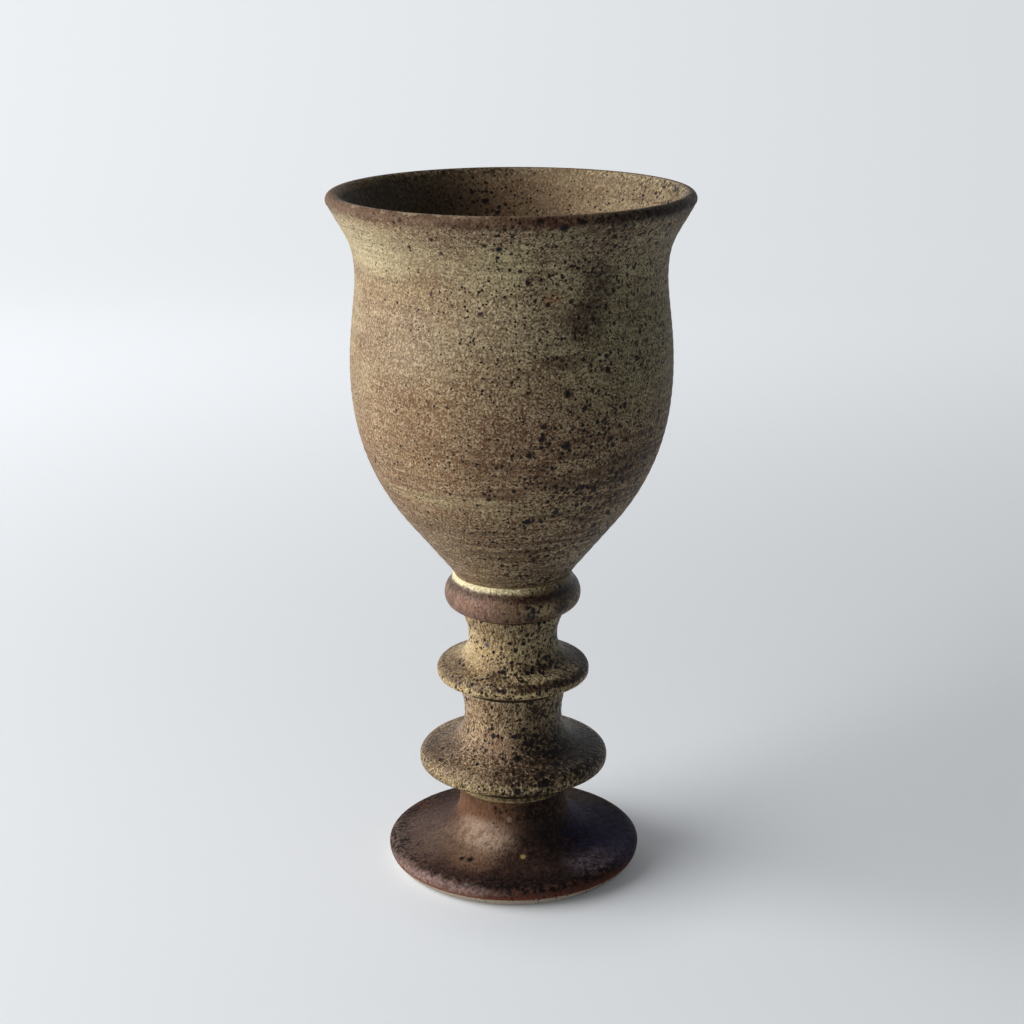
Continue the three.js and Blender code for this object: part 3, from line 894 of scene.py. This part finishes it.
footLook = baseLook | {
    "seed": 7, "drawn": 0.5, "grainRadius": 26, "ground": "#4e2f26", "second": "#36211e",
    "blotch": "#241418", "flashAndShadeTint": "#1f1513", "flashAndShadeStrength": 0.7, "smoke": "#15100f", "smokeSize": 8,
    "paleGrain": "#8a654a", "paleLeft": 0.3, "paleRight": 0.12, "coolStrength": 0.12,
    "darkGrain": "#1c110d", "darkLeft": 0.45, "darkRight": 0.6,
    "speckLeft": 0.4, "speckRight": 0.8, "roughness": 0.68, "gloss": 0.12, "relief": 0.03,
    "ragged": 1.1, "edgeWander": 0.3,
    "bands": [
        (13, 21, 2.5, "#8b6246", 0.65),
        (3, 5.6, 0.9, "#5c2d22", 0.6),
    ],
    "patches": [
        # a painted highlight on the cove, over tan glaze
        (-32, 11.2, 16.4, 12, 4.6, "#c0a48c", 0.88),
        (-58, 9, 19, 10, 4.4, "#84694f", 0.6),
        # a painted sheen on the left of the brim
        (-80, 6.5, 26, 19, 6, "#76655e", 0.6),
        (-28, 8, 21.5, 9, 2.6, "#94745a", 0.55),
    ],
    "stainsShadowAndSheen": [
        # dark glaze on the foot's right, darkened further as painted shadow of the stem and bowl
        (36, 9.5, 18, 12, 9, "#241c1b", 1),
        (88, 8.2, 21.5, 19, 9, "#181d58", 1),
        # these two: more painted shadow of the stem on the foot's right, over dark glaze
        (40, 15.5, 14, 12, 8, "#262124", 1),
        (28, 17.5, 13.8, 8, 5, "#1c1413", 0.9),
        # a painted lilac sheen streak on the right front of the brim
        (48, 6.6, 27, 11, 1.5, "#786872", 0.75),
        (6, 6.3, 28.5, 18, 1.2, "#1a1012", 0.85),
    ],
    "flecks": [
        (4.5, 6.4, 0.5, 1.1, 0.44, 0.1, "#0d0909", 0.95),
        (14, 20.4, 1.4, 1.5, 0.52, 0.75, "#1a1110", 0.9),
        (7.6, 13, 1.4, 1.3, 0.5, 0.1, "#4c3226", 0.5),
        (6.5, 12.5, 1.5, 1.4, 0.5, 0.9, "#0c0909", 0.75),
        (20.3, 21.6, 0.3, 0.9, 0.46, 0.55, "#2b1d15", 0.85),
    ],
    "edgeStainsSheenAndShade": [
        # a painted highlight on the rounded front-left edge of the brim
        (-40, 4.4, 31.3, 24, 1.8, "#aa8f85", 0.7),
        # a painted lilac sheen on the right edge of the brim
        (78, 5.4, 30, 17, 2.4, "#575266", 0.75),
        # painted shade: the right of the neck darkened where it turns from the lamp and the ring above shades
        # it
        (62, 20.8, 14.3, 10, 2, "#1c1512", 0.95),
    ],
    "overBands": [
        (2.7, 3.4, 0.3, 26, "#7d3a25", 0.7),
        (20.1, 23, 0.15, 0, "#b8a478", 0.72),
        # dark slip line at the seam, with painted shade in the crease under the ring
        (21.4, 23, 0.12, 0, "#1d130e", 0.95),
        (-2, 2.6, 0.25, 0, "#b5a795", 1),
        (-2, 4.5, 0.1, -26, "#a8988a", 1),
    ],
    "spots": [
        (-34.7, 7.6, 22.5, 1, 1, "#0f0b0b", 1),
        (-29.3, 7.7, 22.1, 1.3, 1.2, "#0f0b0b", 1),
        (6.8, 8.5, 19.6, 1, 1, "#b59a62", 0.9),
        (-4.7, 15.6, 13.9, 1, 1, "#a08c74", 0.7),
        (-19.6, 18.4, 13.7, 0.7, 0.8, "#1b1310", 0.9),
        (-14, 17.3, 13.7, 0.6, 0.7, "#1b1310", 0.85),
        (-7.9, 17.9, 13.7, 0.7, 0.8, "#1b1310", 0.9),
        (-10, 18.9, 13.8, 0.5, 0.5, "#1b1310", 0.85),
    ],
}

bowlGlaze = stonewareGlaze("speckledKhakiStonewareGlaze", bowlLook)
collarGlaze = stonewareGlaze("roseBrownStonewareGlaze", collarLook)
upperStemGlaze = stonewareGlaze("creamKhakiStonewareGlaze", upperStemLook)
lowerStemGlaze = stonewareGlaze("brownKhakiStonewareGlaze", lowerStemLook)
footGlaze = stonewareGlaze("chocolateStonewareGlaze", footLook)
print("glazes mixed")

upperStemOutline = stemOutline(upperRing, stemSeam, collarSeam)
lowerStemOutline = stemOutline(lowerRing, footSeam, stemSeam)
pieces = (
    ("bowlThrown", "bowl", "bowl_glaze", bowlOutline(bowlSize), wheelHand | {"facets": 300}, bowlGlaze),
    ("collarThrown", "collar_ring", "collar_glaze", collarOutline(collarSize), wheelHand, collarGlaze),
    ("upperStemThrown", "upper_stem", "stem_glaze", upperStemOutline, wheelHand, upperStemGlaze),
    ("lowerStemThrown", "lower_stem", "stem_glaze", lowerStemOutline, wheelHand, lowerStemGlaze),
    ("footThrown", "foot", "foot_glaze", footOutline(footRing), wheelHand, footGlaze),
)
for name, node, slot, outline, hand, glaze in pieces:
    piece = throwPiece(name, outline, hand, glaze)
    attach(piece, "root")
    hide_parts(node)

slipLook = baseLook | {
    "seed": 9.0, "ground": "#32241c", "second": "#231813", "paleLeft": 0.08, "paleRight": 0.08,
    "darkLeft": 0.3, "darkRight": 0.4, "flashAndShadeStrength": 0.1, "roughness": 0.8,
    "bands": [(76.0, 78.0, 0.3, "#8a7350", 0.9)],
}
firedSlip = stonewareGlaze("firedStonewareSlip", slipLook)
for node in seamNodes:
    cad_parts[node].data.materials.clear()
    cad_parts[node].data.materials.append(firedSlip)
print("seams glazed over")

# Stage: a pale paper sweep and one large soft light from the left

stage = {
    "floorColour": "#e2e5e8", "floorRadius": 1.0, "bendRadius": 0.6, "bendSteps": 24, "wallTop": 1.1,
    "facets": 96, "glowColour": "#f4f7fa", "glowFrom": 0.1, "glowTo": 0.7, "nearGlow": 0.255, "farGlow": 0.57,
    "glowAcross": 0.6, "glowLeft": 1.16, "glowRight": 0.76,
    "farColour": "#7d8184", "farFrom": 0.5, "farTo": 1.0, "farLift": 0.22,
    "shadeAt": (0.014, -0.012, 0.0), "shadeReach": 0.052, "shadeGlow": 0.2,
    "roughness": 0.9, "gloss": 0.2, "roomColour": "#eef3fa", "roomLight": 0.125,
}


def paperSweep(size):  # a round cove, the same from every side
    floor, bend, steps = size["floorRadius"], size["bendRadius"], size["bendSteps"]
    rises = [math.radians(90 * i / steps) for i in range(steps + 1)]
    line = [(floor + bend * math.sin(a), bend * (1 - math.cos(a))) for a in rises]
    line.append((line[-1][0], size["wallTop"]))
    count = size["facets"]
    turns = [math.tau * i / count for i in range(count)]
    points = [(r * math.cos(t), r * math.sin(t), z) for r, z in line for t in turns]
    faces = [tuple(range(count))]
    for row in range(len(line) - 1):
        for i in range(count):
            j = (i + 1) % count
            faces.append(tuple(row * count + k for k in (i, i + count, j + count, j)))
    mesh = bpy.data.meshes.new("paperSweep")
    mesh.from_pydata(points, [], faces)
    mesh.shade_smooth()
    mesh.materials.append(mattPaper(size))
    paper = bpy.data.objects.new("paperSweep", mesh)
    bpy.context.scene.collection.objects.link(paper)


def mattPaper(size):  # pale card that fades to white with distance, to the eye and in reflections only, with painted light brighter on the lamp's side and a painted shadow beside the foot
    paper = bpy.data.materials.new("mattPaper")
    paper.use_nodes = True
    tree = paper.node_tree
    tree.nodes.clear()
    put = partial(addNode, tree)
    place = put("ShaderNodeTexCoord")["Object"]
    sides = put("ShaderNodeSeparateXYZ", {0: place})
    depth = put(
        "ShaderNodeMapRange",
        {"Value": sides[1], "From Min": size["glowFrom"], "From Max": size["glowTo"],
         "To Min": size["nearGlow"], "To Max": size["farGlow"]}, **smooth,
    )[0]
    # painted light: the card glows brighter towards the lamp's side
    across = put(
        "ShaderNodeMapRange",
        {"Value": sides[0], "From Min": -size["glowAcross"], "From Max": size["glowAcross"],
         "To Min": size["glowLeft"], "To Max": size["glowRight"]},
    )[0]
    # painted shadow: the glow dims round a spot beside the foot
    away = put("ShaderNodeVectorMath", {0: place, 1: size["shadeAt"]}, "DISTANCE")["Value"]
    clear = put(
        "ShaderNodeMapRange",
        {"Value": away, "From Max": size["shadeReach"], "To Min": size["shadeGlow"]},
        **smooth,
    )[0]
    reach = put("ShaderNodeVectorMath", {0: place}, "LENGTH")["Value"]
    far = put(
        "ShaderNodeMapRange",
        {"Value": reach, "From Min": size["farFrom"], "From Max": size["farTo"]},
        **smooth,
    )[0]
    card = put(
        "ShaderNodeMix",
        {0: far, 6: linear(size["floorColour"]), 7: linear(size["farColour"])}, data_type="RGBA",
    )[2]
    rays = put("ShaderNodeLightPath")
    seen = rays["Is Camera Ray"]
    for kind in ("Is Glossy Ray", "Is Transmission Ray"):
        seen = put("ShaderNodeMath", {0: seen, 1: rays[kind]}, "MAXIMUM")[0]
    glow = depth
    for share in (across, clear):
        glow = put("ShaderNodeMath", {0: glow, 1: share}, "MULTIPLY")[0]
    glow = put("ShaderNodeMath", {0: far, 1: size["farLift"], 2: glow}, "MULTIPLY_ADD")[0]
    glow = put("ShaderNodeMath", {0: glow, 1: seen}, "MULTIPLY")[0]
    shader = put(
        "ShaderNodeBsdfPrincipled",
        {"Base Color": card, "Roughness": size["roughness"], "Specular IOR Level": size["gloss"],
         "Emission Color": linear(size["glowColour"]), "Emission Strength": glow},
    )[0]
    put("ShaderNodeOutputMaterial", {0: shader})
    return paper


windowLight = {
    "turn": -80.0, "rise": 24.0, "away": 1.1, "aimAt": (0, 0, 0.08),
    "width": 1.2, "tall": 0.9, "power": 17.8, "colour": "#ffffff",
}


def softLight(name, panel):  # a panel by its turn from the front, rise and distance, aimed at the goblet
    light = bpy.data.lights.new(name, "AREA")
    light.shape = "RECTANGLE"
    light.size, light.size_y, light.energy = panel["width"], panel["tall"], panel["power"]
    light.color = linear(panel["colour"])[:3]
    lamp = bpy.data.objects.new(name, light)
    bpy.context.scene.collection.objects.link(lamp)
    a, e = math.radians(panel["turn"]), math.radians(panel["rise"])
    way = Vector((math.sin(a) * math.cos(e), -math.cos(a) * math.cos(e), math.sin(e)))
    aim = (-way).to_track_quat("-Z", "Y").to_matrix().to_4x4()
    lamp.matrix_world = Matrix.Translation(Vector(panel["aimAt"]) + way * panel["away"]) @ aim


paperSweep(stage)
softLight("windowLight", windowLight)

world = bpy.data.worlds.new("paleRoom")
world.use_nodes = True
room = world.node_tree.nodes["Background"].inputs
room["Color"].default_value = linear(stage["roomColour"])
room["Strength"].default_value = stage["roomLight"]
bpy.context.scene.world = world

eye = {  # where the picture was taken from, in mm and degrees by fitting the outline, and its clips in m
    "lens": 69.47, "sensor": 36.0, "back": 461.44, "up": 233.39, "tilt": 17.089, "roll": -0.226,
    "sideways": -0.000337, "nearest": 0.01, "farthest": 20.0,
}
lensData = bpy.data.cameras.new("eye")
lensData.lens, lensData.sensor_width = eye["lens"], eye["sensor"]
lensData.shift_x = eye["sideways"]
lensData.clip_start, lensData.clip_end = eye["nearest"], eye["farthest"]
camera = bpy.data.objects.new("eye", lensData)
bpy.context.scene.collection.objects.link(camera)
camera.matrix_world = (
    Matrix.Translation((0, -eye["back"] * mm, eye["up"] * mm))
    @ Matrix.Rotation(math.radians(90 - eye["tilt"]), 4, "X")
    @ Matrix.Rotation(math.radians(eye["roll"]), 4, "Z")
)
bpy.context.scene.camera = camera
bpy.context.scene.view_settings.view_transform = "Standard"
print("stage, lights and camera set")
